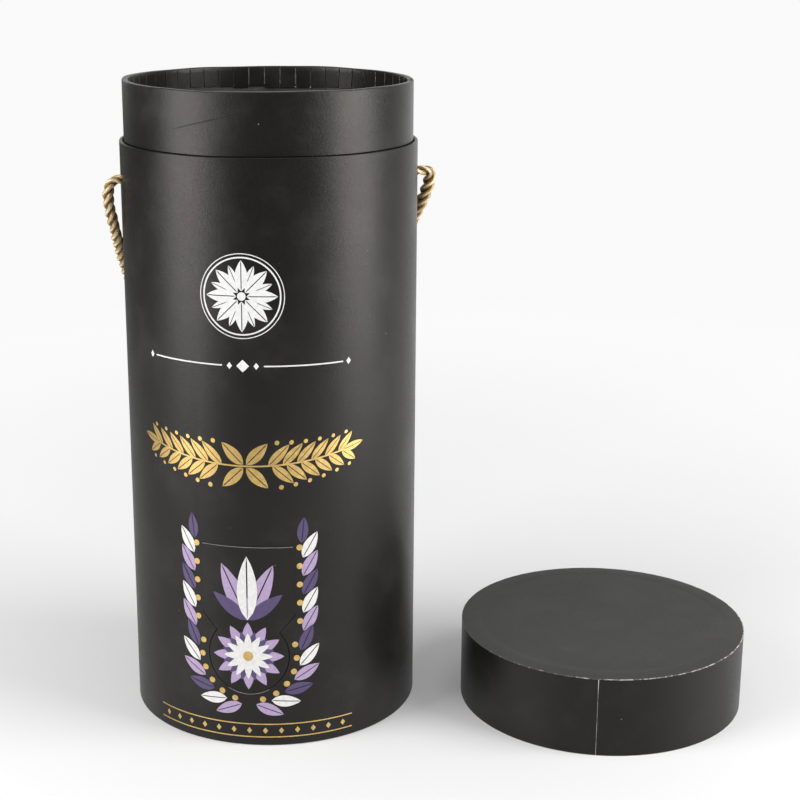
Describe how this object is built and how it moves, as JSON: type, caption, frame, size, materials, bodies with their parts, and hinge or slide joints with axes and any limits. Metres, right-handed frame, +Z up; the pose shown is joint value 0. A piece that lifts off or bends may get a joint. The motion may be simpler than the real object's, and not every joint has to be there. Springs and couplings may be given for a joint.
{
  "type": "cylindrical gift tube box",
  "caption": "Paper-wrapped round board tube with a neck collar, a lift-off lid standing beside it, a twisted rope handle through its sides and a die-cut tap flap in the front.",
  "frame": {"origin": "on the tube's axis at the underside of its base cover", "axes": "+Z up along the tube's axis, X through the two rope holes with the lid standing towards +X, +Y to the back where the rope hangs"},
  "size_m": [0.2426, 0.1541, 0.242],
  "materials": {
    "black_wrap": "matte film over black printed paper",
    "neck_paper": "matte black paper, cut into tabs inside the rim",
    "lid_top": "matte black paper with worn white edge",
    "base_paper": "uncoated black paper",
    "lining_paper": "uncoated black paper",
    "tube_board": "wound board with a dark inner ply and grey cut edges",
    "lid_board": "grey board",
    "gold_rope": "satin twisted rope of three strands"
  },
  "bodies": {
    "tube": {"body_tube": "tube_board", "body_wrap": "black_wrap", "base_disc": "tube_board", "base_cover": "base_paper", "base_lining": "lining_paper", "neck_tube": "tube_board", "neck_wrap": "neck_paper"},
    "lid": {"lid_ring": "lid_board", "lid_disc": "lid_board", "lid_top_paper": "lid_top", "lid_lining": "lining_paper", "lid_wrap": "black_wrap"},
    "handle": {"rope_handle": "gold_rope", "knot_left": "gold_rope", "knot_right": "gold_rope"},
    "tap_flap": {"tap_flap_board": "tube_board", "tap_flap_paper": "black_wrap"}
  },
  "joints": [
    {"name": "lid_lift", "type": "slide", "parent": "tube", "child": "lid", "axis": [0, 0, 1], "range_m": [0, 0.245]},
    {"name": "handle_swing", "type": "hinge", "parent": "tube", "child": "handle", "pos_m": [0, 0, 0.206], "axis": [1, 0, 0], "range_deg": [0, 290]},
    {"name": "tap_flap_fold", "type": "hinge", "parent": "tube", "child": "tap_flap", "pos_m": [-0.01881, -0.05168, 0.0792], "axis": [-0.9397, 0.342, 0], "range_deg": [0, 110]}
  ]
}
